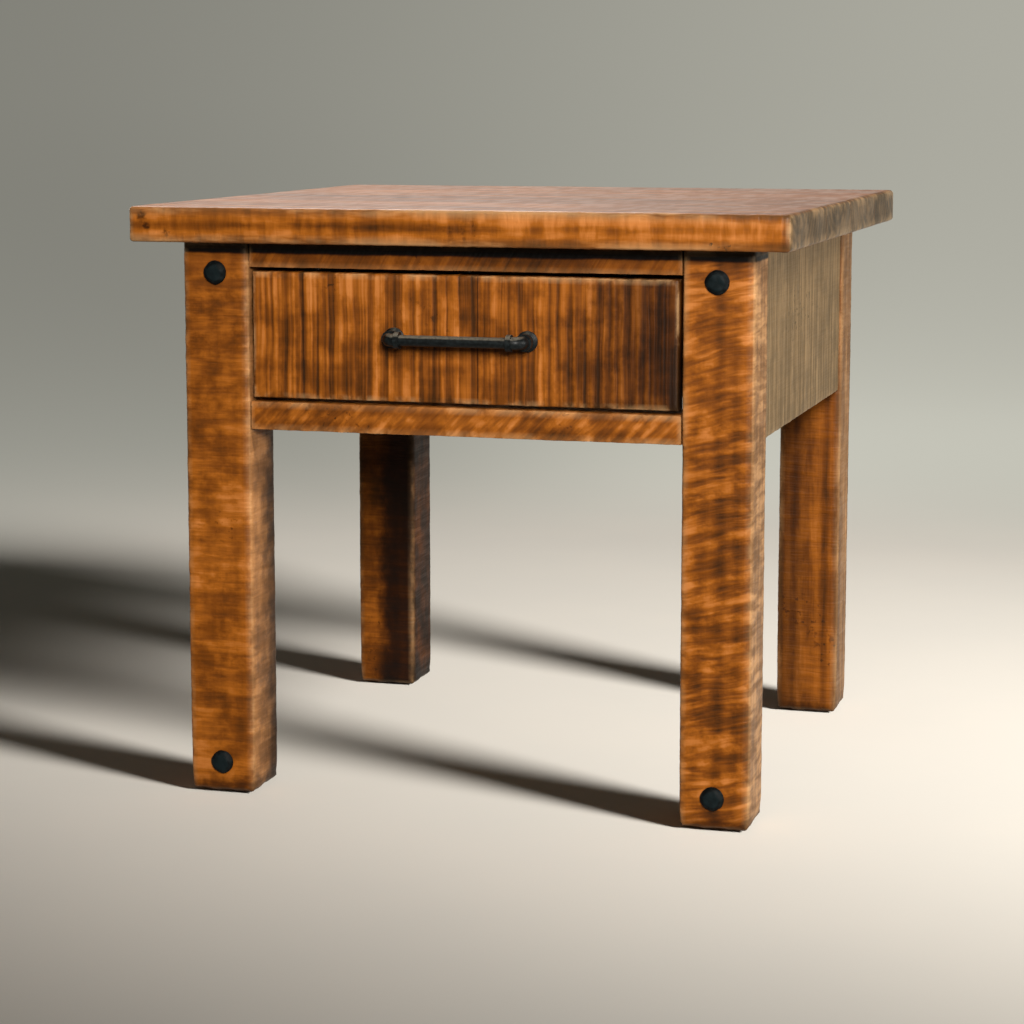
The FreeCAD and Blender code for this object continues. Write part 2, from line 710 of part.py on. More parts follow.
def build_top_and_frame():
    """Top, legs, aprons, rails, blocks and studs; tenons and screws cut their own mortises and holes."""
    (up_screws, up_holes), (side_screws, side_holes) = cleat_screws()
    block_fasteners, block_holes = block_screws()
    lag, lag_hole = corner_bolt()
    rail_fasteners, rail_holes = rail_screws()
    slide_fasteners, slide_holes = slide_frame_screws()
    upper_stud, upper_stud_hole = stud("stud_upper", f"({LEG_TOP} - stud_drop)")
    lower_stud, lower_stud_hole = stud("stud_lower", "stud_rise")

    apron = side_apron()
    rear = back_apron()
    lower = front_rail("front_lower_rail", APRON_BOTTOM, "lower_rail")
    upper = front_rail("front_upper_rail", OPENING_TOP, UPPER_RAIL)

    boards = top_boards(up_holes, mirrored("cleat_top_holes_twin", up_holes), rail_holes)
    for count, piece in enumerate(boards, start=1):
        keep(f"top_board_{count}", piece)
    keep("back_apron", rear)
    keep("front_lower_rail", lower)
    keep("front_upper_rail", cut("front_upper_rail_solid", upper, rail_holes))
    keep_pair("side_apron", cut("side_apron_solid", apron, block_holes, side_holes))
    keep_pair("leg_front", cut("leg_front_solid", leg("leg_front_blank", LEG_FRONT), apron, lower, upper,
                               slide_holes, upper_stud_hole, lower_stud_hole))
    keep_pair("leg_back", cut("leg_back_solid", leg("leg_back_blank", LEG_BACK), apron, rear, lag_hole))
    keep_pair("slide_block", cut("slide_block_solid", slide_block(), block_holes, slide_holes))
    keep_pair("corner_block", cut("corner_block_solid", corner_block(), lag_hole))
    keep_pair("top_cleat", cut("top_cleat_solid", top_cleat(), up_holes, side_holes))
    keep_pair("stud_upper", upper_stud)
    keep_pair("stud_lower", lower_stud)
    keep_pair("slide_outer_member", cut("outer_member_solid", outer_member(), slide_holes))
    keep("front_rail_screws", rail_fasteners)
    keep_both_sides("cleat_screws", up_screws, side_screws)
    keep_both_sides("block_screws", block_fasteners)
    keep_both_sides("corner_bolts", lag)
    keep_both_sides("slide_frame_screws", slide_fasteners)


def build_slide_runners():
    """What moves between the frame and the drawer."""
    keep_pair("slide_middle_member", middle_member())
    outer_cage, outer_balls = ball_cage("slide_outer", "1.7", "8.2", OUTER_ROW, "5.6")
    inner_cage, inner_balls = ball_cage("slide_inner", "4.5", "10.2", INNER_ROW, "8.4")
    keep_pair("slide_outer_cage", outer_cage)
    keep_pair("slide_outer_balls", outer_balls)
    keep_pair("slide_inner_cage", inner_cage)
    keep_pair("slide_inner_balls", inner_balls)


def build_drawer():
    """Drawer box, its front, its slide members and its pull."""
    member_screws, member_holes = slide_drawer_screws()
    face_screws, face_holes = drawer_front_screws()
    post_screws, post_holes = pull_screws()

    bottom = drawer_bottom()
    side = drawer_side(bottom, member_holes)
    other_side = mirrored("drawer_side_twin", side)
    back_y = f"({BOX_Y} + box_length - box_wall)"
    keep("drawer_bottom", bottom)
    keep("drawer_side_right", side)
    keep("drawer_side_left", other_side)
    keep("drawer_box_front", box_end("box_front", BOX_Y, side, other_side, bottom, face_holes, post_holes))
    keep("drawer_box_back", box_end("box_back", back_y, side, other_side, bottom))
    keep("drawer_front", drawer_front(face_holes, post_holes))
    keep_pair("slide_inner_member", cut("inner_member_solid", inner_member(), member_holes))

    bar = pull_bar()
    post = pull_post()
    keep("pull_bar", bar)
    keep_pair("pull_elbow", cut("pull_elbow_solid", pull_elbow(), post, bar))
    keep_pair("pull_post", cut("pull_post_solid", post, post_holes))
    keep_pair("pull_flange", cut("pull_flange_solid", pull_flange(), post_holes))

    keep("drawer_front_screws", face_screws)
    keep("pull_screws", post_screws)
    keep_both_sides("slide_drawer_screws", member_screws)


def export():
    """Checks every object and every sub-part, then writes one file for each sub-part."""
    for name, piece in parts.items():
        piece.Label = name
    doc.recompute()
    for item in doc.Objects:
        if "Invalid" in item.State or "Error" in item.State:
            raise RuntimeError(f"{item.Name} did not build: {item.State}")
    for name, piece in parts.items():
        shape = piece.Shape
        if shape.isNull() or not shape.isValid() or not shape.Solids:
            raise RuntimeError(f"{name} has no valid solid")
        if piece.Label != name or any(solid.Volume <= 0 for solid in shape.Solids):
            raise RuntimeError(f"{name} is misnamed or inside out")
    os.makedirs("parts", exist_ok=True)
    for name, piece in sorted(parts.items()):
        piece.Shape.exportStep(f"parts/{name}.step")
        volume = sum(solid.Volume for solid in piece.Shape.Solids) / 1000
        print(f"{name}: {len(piece.Shape.Solids)} solid(s), {volume:.2f} cm3")


build_top_and_frame()
build_slide_runners()
build_drawer()
export()
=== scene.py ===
import math

import bmesh
import bpy
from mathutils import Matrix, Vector


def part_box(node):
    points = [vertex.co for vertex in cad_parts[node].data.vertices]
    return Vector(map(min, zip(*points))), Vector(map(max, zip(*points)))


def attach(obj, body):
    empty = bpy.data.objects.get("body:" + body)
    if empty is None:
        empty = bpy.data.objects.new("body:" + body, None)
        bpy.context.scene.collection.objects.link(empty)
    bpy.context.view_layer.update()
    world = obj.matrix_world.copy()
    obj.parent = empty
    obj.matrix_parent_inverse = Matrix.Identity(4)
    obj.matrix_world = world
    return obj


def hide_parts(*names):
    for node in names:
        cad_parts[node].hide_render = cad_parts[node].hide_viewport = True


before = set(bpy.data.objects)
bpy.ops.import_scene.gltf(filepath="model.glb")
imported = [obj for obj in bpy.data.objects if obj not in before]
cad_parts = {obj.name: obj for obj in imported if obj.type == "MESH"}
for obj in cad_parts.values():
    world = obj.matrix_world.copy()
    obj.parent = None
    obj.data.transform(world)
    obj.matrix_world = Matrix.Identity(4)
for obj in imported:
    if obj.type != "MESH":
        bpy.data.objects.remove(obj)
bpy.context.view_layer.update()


# ---- Camera ---------------------------------------------------------------------------------------------
# A long lens a little above the table top, to the right of its middle, looking slightly down at the front
# and the right side. Its shift only sets the table a little below the middle of the picture.

CAMERA_PLACE = (0.7714, -2.7505, 0.7191)
CAMERA_TURN = 16.306
CAMERA_TILT = 7.729
CAMERA_LENS = 91.77
CAMERA_SHIFT = -0.0605

camera = bpy.data.objects.new("camera", bpy.data.cameras.new("camera"))
camera.location = CAMERA_PLACE
camera.rotation_euler = (math.radians(90 - CAMERA_TILT), 0, math.radians(CAMERA_TURN))
camera.data.lens = CAMERA_LENS
camera.data.shift_y = CAMERA_SHIFT
bpy.context.scene.collection.objects.link(camera)
bpy.context.scene.camera = camera
bpy.context.scene.view_settings.view_transform = "Standard"


# ---- Floor and backdrop ---------------------------------------------------------------------------------
# A wide sheet of warm white studio paper. It is lit near the table; further out it glows with painted
# light, brighter nearer the table, that turns slowly into the same grey beige as the air behind it, so
# that no horizon shows.

FLOOR_SIZE = 2000.0
PAPER = (0.80, 0.76, 0.69, 1)
BACKDROP_NEAR = (0.63, 0.625, 0.545, 1)
BACKDROP_FAR = (0.34, 0.335, 0.29, 1)
CEILING = (0.14, 0.14, 0.12, 1)
PAPER_CLOUD = (0.78, 0.745, 0.68, 1)
BACKDROP_RANGE = (0.02, 0.75)
PAPER_EDGE = (0.30, 0.76)
SKY_RANGE = (0.0, 0.45)
FILL = 0.22
# The paper's painted glow and the air are dimmer at the left: over this range of bearings their strength
# rises.
SIDE_RANGE = (-0.50, -0.05)
SIDE_STRENGTH = (0.66, 1.22)


def new_material(name):
    """An empty node material and its output node."""
    material = bpy.data.materials.new(name)
    material.use_nodes = True
    material.node_tree.nodes.clear()
    return material, material.node_tree.nodes.new("ShaderNodeOutputMaterial")


def add_node(tree, kind, feeds=None, **settings):
    """One node. Each input in feeds gets a number, a colour or another node's output."""
    new = tree.nodes.new(kind)
    for setting, value in settings.items():
        setattr(new, setting, value)
    for place, feed in (feeds or {}).items():
        if isinstance(feed, bpy.types.NodeSocket):
            tree.links.new(feed, new.inputs[place])
        else:
            new.inputs[place].default_value = feed
    return new.outputs[0]


def mix_colours(tree, share, first, second, blend="MIX"):
    """The first colour with a share of the second one laid over it."""
    mixer = add_node(tree, "ShaderNodeMix", {0: share, 6: first, 7: second},
                     data_type="RGBA", blend_type=blend)
    return mixer.node.outputs[2]


def stretch_range(tree, value, low, high, start=0.0, end=1.0):
    """The value's range from low to high, stretched smoothly to run from start to end."""
    return add_node(tree, "ShaderNodeMapRange", {0: value, 1: low, 2: high, 3: start, 4: end},
                    interpolation_type="SMOOTHSTEP")


def arithmetic(tree, operation, *feeds):
    """One sum on numbers or node outputs."""
    return add_node(tree, "ShaderNodeMath", dict(enumerate(feeds)), operation=operation)


paper, paper_output = new_material("studio_paper")
tree = paper.node_tree
place = add_node(tree, "ShaderNodeTexCoord").node.outputs["Object"]
reach = add_node(tree, "ShaderNodeVectorMath", {0: place}, operation="LENGTH").node.outputs["Value"]
closeness = arithmetic(tree, "DIVIDE", 1.0, reach)
nearness = stretch_range(tree, closeness, *BACKDROP_RANGE)
backdrop_colour = mix_colours(tree, nearness, BACKDROP_FAR, BACKDROP_NEAR)
across = add_node(tree, "ShaderNodeSeparateXYZ", {0: place}).node.outputs["X"]
bearing = arithmetic(tree, "MULTIPLY", across, closeness)
side_share = stretch_range(tree, bearing, *SIDE_RANGE, *SIDE_STRENGTH)
backdrop_glow = add_node(tree, "ShaderNodeEmission", {"Color": backdrop_colour, "Strength": side_share})
fibres = add_node(tree, "ShaderNodeTexNoise", {"Vector": place, "Scale": 3.0, "Detail": 4.0})
paper_colour = mix_colours(tree, stretch_range(tree, fibres, 0.3, 0.7), PAPER, PAPER_CLOUD)
lit = add_node(tree, "ShaderNodeBsdfDiffuse", {"Color": paper_colour})
edge = stretch_range(tree, closeness, *PAPER_EDGE)
surface = add_node(tree, "ShaderNodeMixShader", {0: edge, 1: backdrop_glow, 2: lit})
tree.links.new(surface, paper_output.inputs["Surface"])

bpy.ops.object.select_all(action="DESELECT")
bpy.ops.mesh.primitive_plane_add(size=FLOOR_SIZE)
floor = bpy.context.object
floor.name = "floor"
floor.data.materials.append(paper)
floor.visible_diffuse = False

world = bpy.data.worlds.new("studio")
bpy.context.scene.world = world
world.use_nodes = True
tree = world.node_tree
tree.nodes.clear()
direction = add_node(tree, "ShaderNodeTexCoord").node.outputs["Generated"]
sky = add_node(tree, "ShaderNodeSeparateXYZ", {0: direction})
height = sky.node.outputs["Z"]
side_share = stretch_range(tree, sky.node.outputs["X"], *SIDE_RANGE, *SIDE_STRENGTH)
air = mix_colours(tree, stretch_range(tree, height, *SKY_RANGE), BACKDROP_FAR, CEILING)
is_fill = add_node(tree, "ShaderNodeLightPath").node.outputs["Is Diffuse Ray"]
fill_share = arithmetic(tree, "MULTIPLY_ADD", is_fill, FILL - 1, 1.0)
strength = arithmetic(tree, "MULTIPLY", fill_share, side_share)
background = add_node(tree, "ShaderNodeBackground", {"Color": air, "Strength": strength})
tree.links.new(background, tree.nodes.new("ShaderNodeOutputWorld").inputs["Surface"])


# ---- Lights ---------------------------------------------------------------------------------------------
# Soft boxes for the table: one in front for its face, one above and behind for the top, a narrow one at the
# right, a low one behind that the lacquer mirrors, and one at the back left. A lamp at the right lights only
# the paper and throws the legs' long shadows to the left.

WARM = (1.0, 0.95, 0.88)
WHITE = (1.0, 0.97, 0.93)
TABLE_MIDDLE = Vector((0, 0, 0.3))
POOL_PLACE = (4.60, -2.05, 2.45)
POOL_AIM = (-0.10, 0.75, 0)
POOL_POWER = 3150
POOL_SOFTNESS = 0.70
POOL_CONE = 38


def light_group(name, state):
    """A group that holds the floor, for lights that light only the floor, or all but the floor."""
    group = bpy.data.collections.new(name)
    group.objects.link(floor)
    group.collection_objects[0].light_linking.link_state = state
    return group


only_floor = light_group("only_floor", "INCLUDE")
all_but_floor = light_group("all_but_floor", "EXCLUDE")


def soft_box(name, turn, rise, distance, size, power, colour):
    """A square light that lights only the table: turn is its bearing from the front, to the right."""
    light = bpy.data.lights.new(name, "AREA")
    light.size = size
    light.energy = power
    light.color = colour
    turn = math.radians(turn)
    rise = math.radians(rise)
    aim = Vector((math.sin(turn) * math.cos(rise), -math.cos(turn) * math.cos(rise), math.sin(rise)))
    lamp = bpy.data.objects.new(name, light)
    lamp.location = TABLE_MIDDLE + aim * distance
    lamp.rotation_euler = aim.to_track_quat("Z", "Y").to_euler()
    bpy.context.scene.collection.objects.link(lamp)
    lamp.light_linking.receiver_collection = all_but_floor


soft_box("front_light", turn=22, rise=20, distance=4.0, size=1.1, power=205, colour=WARM)
soft_box("top_light", turn=212, rise=50, distance=3.2, size=1.8, power=84, colour=WHITE)
soft_box("side_light", turn=82, rise=12, distance=4.0, size=0.12, power=85, colour=WHITE)
soft_box("rim_light", turn=196, rise=13, distance=4.5, size=2.0, power=8.4, colour=(1.0, 0.98, 0.93))
soft_box("back_light", turn=240, rise=16, distance=4.2, size=1.2, power=62, colour=(1.0, 0.97, 0.92))

pool = bpy.data.lights.new("floor_light", "SPOT")
pool.energy = POOL_POWER
pool.color = WHITE
pool.shadow_soft_size = POOL_SOFTNESS
pool.spot_size = math.radians(POOL_CONE)
pool.spot_blend = 1.0
pool_lamp = bpy.data.objects.new("floor_light", pool)
pool_lamp.location = POOL_PLACE
pool_lamp.rotation_euler = (pool_lamp.location - Vector(POOL_AIM)).to_track_quat("Z", "Y").to_euler()
bpy.context.scene.collection.objects.link(pool_lamp)
pool_lamp.light_linking.receiver_collection = only_floor


# ---- Top boards -----------------------------------------------------------------------------------------
# The top is four thick maple boards glued edge to edge, left rough from the saw, worn round at its outer
# edges and stained orange brown under a satin lacquer. Screws through the cleats hold it down.

WOOD_DARK = (0.040, 0.0125, 0.0014, 1)
WOOD_BROWN = (0.150, 0.041, 0.0030, 1)
WOOD_AMBER = (0.290, 0.086, 0.0075, 1)
WOOD_PALE = (0.470, 0.165, 0.0380, 1)
STAINED = (WOOD_DARK, WOOD_BROWN, WOOD_AMBER, WOOD_PALE)
# Cream for edges painted pale: partly real wear, partly a painted highlight.
WORN_AND_HIGHLIGHT_CREAM = (0.56, 0.35, 0.17, 1)
# Dark and pale ends of the painted sheen on faces that point right: olive by default, cream for the legs.
SHEEN_OLIVE = ((0.085, 0.054, 0.022, 1), (0.350, 0.222, 0.104, 1))
SHEEN_CREAM = ((0.210, 0.105, 0.042, 1), (0.620, 0.350, 0.155, 1))
# The tint that streaks and knots darken towards: dark stain, and painted shade for the shade streaks.
STAIN_AND_SHADE_TINT = (0.100, 0.085, 0.070, 1)
TONE_STOPS = (0.0, 0.33, 0.63, 0.98)
GRAIN_TURN = {"x": (0, math.radians(90), 0), "y": (math.radians(-90), 0, 0), "z": (0, 0, 0)}
KNOT_SWAY_SCALE = 220.0
KNOT_SWAY = 0.010
GRAIN_SWAY_SCALE = 16.0
GRAIN_SWAY = 0.004
RING_HEART = (0.06, 0.11, 0)
RING_SCALE = 26.0
RING_STRETCH = 0.09
SPECK_SCALE = 170.0
SPECK_GROUP_SCALE = 11.0
SAW_MIDDLE = 0.4
DULL_LACQUER = 0.12
SAW_RELIEF = 0.0006


def drift_colour(tree, place, scale):
    """Slow noise with a different value along each axis, for moving a pattern about."""
    noise = add_node(tree, "ShaderNodeTexNoise", {"Vector": place, "Scale": scale, "Detail": 2.0})
    return noise.node.outputs["Color"]


def swayed_knot(tree, place):
    """Places in the wood moved about a little, so that a knot's outline is uneven."""
    drift = drift_colour(tree, place, KNOT_SWAY_SCALE)
    centred = add_node(tree, "ShaderNodeVectorMath", {0: drift, 1: (0.5, 0.5, 0.5)}, operation="SUBTRACT")
    reach = (KNOT_SWAY, KNOT_SWAY, KNOT_SWAY)
    return add_node(tree, "ShaderNodeVectorMath", {0: centred, 1: reach, 2: place}, operation="MULTIPLY_ADD")


def wood(name, centre, grain, tones=STAINED, level=0.5, lean=0.0, saw=0.35, saw_width=0.007, saw_length=0.30,
         slant=(0, 0), wave=0.0, breaks=0.6, planed=0.0, figure=0.12, fibre=0.10, blotch=0.30,
         patch=(0.035, 0.030), specks=0.35, wear_and_highlight=0.0, worn_and_highlit=0.15, painted_sheen=0.0, sheen_tones=SHEEN_OLIVE, gloss=0.50,
         relief=1.0, streaks=(), knots=()):
    """Sawn wood round a centre, with its grain along an axis and its saw marks across it, leaning by slant.

    The tone runs through the four tones: level is its middle, and lean is how much it rises for each metre
    along the grain. saw, figure, fibre, blotch and specks say how strong the saw marks, growth rings, fibres,
    clouds and dots are. saw_width, saw_length and patch, which is across and along, are sizes in metres.
    wave bends the saw marks, breaks interrupts them, and planed takes them off the faces that lie level.
    The two wear settings, least and most, say how far the edges are painted pale: partly real wear,
    partly a painted highlight. The sheen setting paints the faces that point right towards two sheen tones,
    as a painted sheen of light from the right. A streak is (axis, middle, core, rim, depth), and a knot is
    (middle, radius, depth). Knots and some streaks are dark stain; other streaks are painted shade.
    """
    material, output = new_material(name)
    tree = material.node_tree
    solid = add_node(tree, "ShaderNodeTexCoord").node.outputs["Object"]
    laid_out = {"Vector": solid, "Location": centre, "Rotation": GRAIN_TURN[grain]}
    own = add_node(tree, "ShaderNodeMapping", laid_out, vector_type="TEXTURE")
    drift = drift_colour(tree, own, GRAIN_SWAY_SCALE)
    swayed = add_node(tree, "ShaderNodeVectorMath", {0: drift, 1: (0, 0, GRAIN_SWAY + wave), 2: own},
                      operation="MULTIPLY_ADD")

    def pattern(source, across, along, detail, roughness=0.6, turn=(0, 0, 0), low=0.3, high=0.7):
        """Noise whose patches are so wide across the grain and so long along it, in metres."""
        turned = add_node(tree, "ShaderNodeMapping", {"Vector": source, "Rotation": turn})
        scaled = add_node(tree, "ShaderNodeMapping",
                          {"Vector": turned, "Scale": (1 / across, 1 / across, 1 / along)})
        noise = add_node(tree, "ShaderNodeTexNoise",
                         {"Vector": scaled, "Scale": 1.0, "Detail": detail, "Roughness": roughness})
        return stretch_range(tree, noise, low, high)

    turn = (math.radians(slant[0]), math.radians(slant[1]), 0)
    broad_saw = pattern(swayed, saw_length, saw_width, 2.5, 0.55, turn, 0.34, 0.66)
    fine_saw = pattern(swayed, saw_length / 3, saw_width / 3, 2.0, 0.5, turn, 0.32, 0.68)
    patches = pattern(own, patch[0], patch[1], 4.0, 0.6, low=0.32, high=0.68)
    clouds = pattern(own, patch[0] * 4, patch[1] * 5, 3.0, low=0.33, high=0.67)
    fine_fibre = pattern(own, 0.0018, 0.060, 3.0)
    long_fibre = pattern(own, 0.018, 0.25, 3.0)
    ringed = add_node(tree, "ShaderNodeMapping",
                      {"Vector": own, "Location": RING_HEART, "Scale": (1.0, 1.0, RING_STRETCH)})
    ring_feeds = {"Vector": ringed, "Scale": RING_SCALE, "Distortion": 5.0, "Detail": 3.0,
                  "Detail Scale": 0.35}
    rings = add_node(tree, "ShaderNodeTexWave", ring_feeds, wave_type="RINGS", rings_direction="Z")
    rings = rings.node.outputs["Fac"]
    unbroken = stretch_range(tree, patches, 0.0, 1.0, 1 - breaks, 1.0)
    broken_saw = arithmetic(tree, "MULTIPLY", broad_saw, unbroken)
    face = add_node(tree, "ShaderNodeNewGeometry").node.outputs["Normal"]
    facing = add_node(tree, "ShaderNodeSeparateXYZ", {0: face})
    if planed:
        level_face = arithmetic(tree, "ABSOLUTE", facing.node.outputs["Z"])
        marks_left = stretch_range(tree, level_face, 0.5, 0.9, 1.0, 1 - planed)
        broken_saw = arithmetic(tree, "SUBTRACT", broken_saw, SAW_MIDDLE)
        broken_saw = arithmetic(tree, "MULTIPLY_ADD", broken_saw, marks_left, SAW_MIDDLE)
        fine_saw = arithmetic(tree, "SUBTRACT", fine_saw, 0.5)
        fine_saw = arithmetic(tree, "MULTIPLY_ADD", fine_saw, marks_left, 0.5)

    lean_axis = add_node(tree, "ShaderNodeSeparateXYZ", {0: own}).node.outputs["Z"]
    layers = ((broken_saw, saw), (fine_saw, saw * 0.22), (clouds, blotch * 0.7), (patches, blotch * 0.7),
              (fine_fibre, fibre * 0.2), (long_fibre, fibre * 0.8), (rings, figure))
    tone = arithmetic(tree, "MULTIPLY_ADD", lean_axis, lean, level - sum(share for _, share in layers) / 2)
    for layer, share in layers:
        tone = arithmetic(tree, "MULTIPLY_ADD", layer, share, tone)

    dots = add_node(tree, "ShaderNodeTexNoise", {"Vector": own, "Scale": SPECK_SCALE, "Detail": 2.0})
    clusters = add_node(tree, "ShaderNodeTexNoise",
                        {"Vector": own, "Scale": SPECK_GROUP_SCALE, "Detail": 1.0})
    speckle = arithmetic(tree, "MULTIPLY", stretch_range(tree, dots, 0.60, 0.70),
                         stretch_range(tree, clusters, 0.60, 0.72))
    tone = arithmetic(tree, "MULTIPLY_ADD", speckle, -specks, tone)
    colour = add_node(tree, "ShaderNodeValToRGB", {"Fac": tone})
    stops = colour.node.color_ramp.elements
    stops.remove(stops[1])
    stops[0].position = TONE_STOPS[0]
    stops[0].color = tones[0]
    for position, shade in zip(TONE_STOPS[1:], tones[1:]):
        stops.new(position).color = shade
    # Painted sheen: faces that point right are paled towards the sheen tones, as light from the right shows
    # them.
    if painted_sheen:
        sheen_share = arithmetic(tree, "MULTIPLY", stretch_range(tree, facing.node.outputs["X"], 0.55, 0.95), painted_sheen)
        sheen_colour = mix_colours(tree, stretch_range(tree, tone, 0.0, 1.0), *sheen_tones)
        colour = mix_colours(tree, sheen_share, colour, sheen_colour)
    # Streaks of dark stain, and streaks of painted shade and shadow.
    for axis, middle, core, rim, depth in streaks:
        across = add_node(tree, "ShaderNodeSeparateXYZ", {0: solid}).node.outputs[axis]
        offset = arithmetic(tree, "ABSOLUTE", arithmetic(tree, "SUBTRACT", across, middle))
        ragged = arithmetic(tree, "MULTIPLY_ADD", patches, rim * 0.3, offset)
        share = stretch_range(tree, ragged, core, core + rim, depth, 0.0)
        colour = mix_colours(tree, share, colour, STAIN_AND_SHADE_TINT, "MULTIPLY")
    for middle, radius, depth in knots:
        offset = add_node(tree, "ShaderNodeVectorMath", {0: swayed_knot(tree, solid), 1: middle},
                          operation="DISTANCE").node.outputs["Value"]
        share = stretch_range(tree, offset, radius * 0.25, radius, depth, 0.0)
        colour = mix_colours(tree, share, colour, STAIN_AND_SHADE_TINT, "MULTIPLY")
    # Edges painted pale: partly real wear, partly a painted highlight.
    if wear_and_highlight:
        edge_wear_and_highlight = add_node(tree, "ShaderNodeAttribute", attribute_name="wear_and_highlight").node.outputs["Fac"]
        lightened = arithmetic(tree, "MULTIPLY", edge_wear_and_highlight, stretch_range(tree, patches, 0.25, 0.95, worn_and_highlit, wear_and_highlight))
        colour = mix_colours(tree, lightened, colour, WORN_AND_HIGHLIGHT_CREAM)
    grit = arithmetic(tree, "MULTIPLY_ADD", broad_saw, -0.10, gloss + 0.06)
    grit = arithmetic(tree, "MULTIPLY_ADD", fine_fibre, -0.06, grit)
    height = arithmetic(tree, "MULTIPLY_ADD", fine_saw, 0.5, broken_saw)
    height = arithmetic(tree, "MULTIPLY_ADD", fine_fibre, 0.12, height)
    bump = add_node(tree, "ShaderNodeBump",
                    {"Strength": 0.55 * relief, "Distance": SAW_RELIEF, "Height": height})
    shader = add_node(tree, "ShaderNodeBsdfPrincipled",
                      {"Base Color": colour, "Roughness": grit, "Normal": bump,
                       "Specular IOR Level": DULL_LACQUER})
    tree.links.new(shader, output.inputs["Surface"])
    return material


def edge_nearness(point, low, high, reach):
    """1 on an outer edge of the box from low to high, falling to 0 at the reach away from it."""
    insets = sorted(min(point[i] - low[i], high[i] - point[i]) for i in range(3))
    return max(0.0, 1 - max(insets[1], 0) / reach)


def start_piece(name, low, high):
    """A box from low to high as the only selected object, in edit mode."""
    bpy.ops.object.select_all(action="DESELECT")
    bpy.ops.mesh.primitive_cube_add(size=1, location=(low + high) / 2, scale=high - low)
    piece = bpy.context.object
    piece.name = name
    piece.data.name = name
    bpy.ops.object.transform_apply(location=True, rotation=True, scale=True)
    bpy.ops.object.mode_set(mode="EDIT")
    return piece


def pick(kind, test):
    """Select the edges or faces of the piece in edit mode that pass the test, and nothing else."""
    bpy.ops.mesh.select_mode(type=kind)
    bpy.ops.mesh.select_all(action="DESELECT")
    mesh = bpy.context.object.data
    shape = bmesh.from_edit_mesh(mesh)
    for part in shape.edges if kind == "EDGE" else shape.faces:
        part.select_set(test(part))
    bmesh.update_edit_mesh(mesh)


def runs_along(axis):
    """A test for edges that lie along one axis."""
    def test(edge):
        line = edge.verts[1].co - edge.verts[0].co
        return abs(line[axis]) > 0.999 * line.length
    return test


def slice_piece(axis, length, cell):
    """Cut the piece in edit mode across one axis into slices about a cell long, in two passes."""
    passes = max(1, round(math.sqrt(length / cell)))
    for _ in range(2):
        pick("EDGE", runs_along(axis))
        bpy.ops.mesh.subdivide(number_cuts=max(1, passes - 1))


def guide_at(place, scale, turn):
    """A mark whose place, turn and scale lay out a carved pattern."""
    guide = bpy.data.objects.new("guide", None)
    guide.location = place
    guide.rotation_euler = turn
    guide.scale = scale
    bpy.context.scene.collection.objects.link(guide)
    return guide


def carve(piece, place, scale, depth, turn=(0, 0, 0), group="", rough=2):
    """Sink an uneven pattern into the surface: scale is the size of its hollows, depth the deepest one."""
    hollows = bpy.data.textures.new("hollows", type="CLOUDS")
    hollows.noise_scale = 1.0
    hollows.noise_depth = rough
    guide = guide_at(place, scale, turn)
    bpy.context.view_layer.update()
    carving = piece.modifiers.new("carving", "DISPLACE")
    carving.texture = hollows
    carving.texture_coords = "OBJECT"
    carving.texture_coords_object = guide
    carving.mid_level = 1.0
    carving.strength = depth
    carving.vertex_group = group
    bpy.context.view_layer.objects.active = piece
    bpy.ops.object.modifier_apply(modifier=carving.name)
    bpy.data.objects.remove(guide)
    bpy.data.textures.remove(hollows)


MARK_SPAN = 0.12
MARK_PITCH = 0.006
SWAY_SPAN = 0.09
BITE_SIZE = 0.010
CARVING_OFFSET = Vector((0.31, 0.17, 0.23))


def weather(piece, low, high, grain, saw_depth=0.0003, sway=0.0006, chew=0.0016, slant=0.0, edge_reach=0.007,
            crisp=lambda place: False):
    """Saw marks across the grain, a slight unevenness all over, and worn edges with a few bites in them.

    Edges where crisp is true stay sharp.
    """
    axis = "xyz".index(grain)
    place = (low + high) / 2 + CARVING_OFFSET
    marks = [MARK_SPAN, MARK_SPAN, MARK_SPAN]
    marks[axis] = MARK_PITCH
    lean = (0, math.radians(slant), 0) if grain != "y" else (math.radians(slant), 0, 0)
    edges = piece.vertex_groups.new(name="edges")
    for vertex in piece.data.vertices:
        near = 0.0 if crisp(vertex.co) else edge_nearness(vertex.co, low, high, edge_reach)
        edges.add([vertex.index], near, "REPLACE")
    carve(piece, place, marks, saw_depth, lean, rough=3)
    carve(piece, place, (SWAY_SPAN, SWAY_SPAN, SWAY_SPAN), sway)
    carve(piece, place, (BITE_SIZE, BITE_SIZE, BITE_SIZE), chew, group="edges", rough=3)
    piece.vertex_groups.clear()


def finish_piece(piece, low, high, material, body, node, smooth=40, edge_reach=0.007):
    """Smooth shading, edge wear and painted highlight, the material, and the calls that put it in the frame.
    """
    worn_and_highlit = piece.data.attributes.new("wear_and_highlight", "FLOAT", "POINT")
    for vertex, value in zip(piece.data.vertices, worn_and_highlit.data):
        value.value = edge_nearness(vertex.co, low, high, edge_reach)
    bpy.ops.object.select_all(action="DESELECT")
    piece.select_set(True)
    bpy.context.view_layer.objects.active = piece
    bpy.ops.object.shade_smooth_by_angle(angle=math.radians(smooth))
    piece.data.materials.clear()
    piece.data.materials.append(material)
    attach(piece, body)
    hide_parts(node)


TOP_ROUNDING = 0.004
JOINT_EASING = 0.0006
ON_EDGE = 0.001
# The mesh's cells, left to right, front to back and up.
TOP_CELLS = (0.0026, 0.007, 0.006)
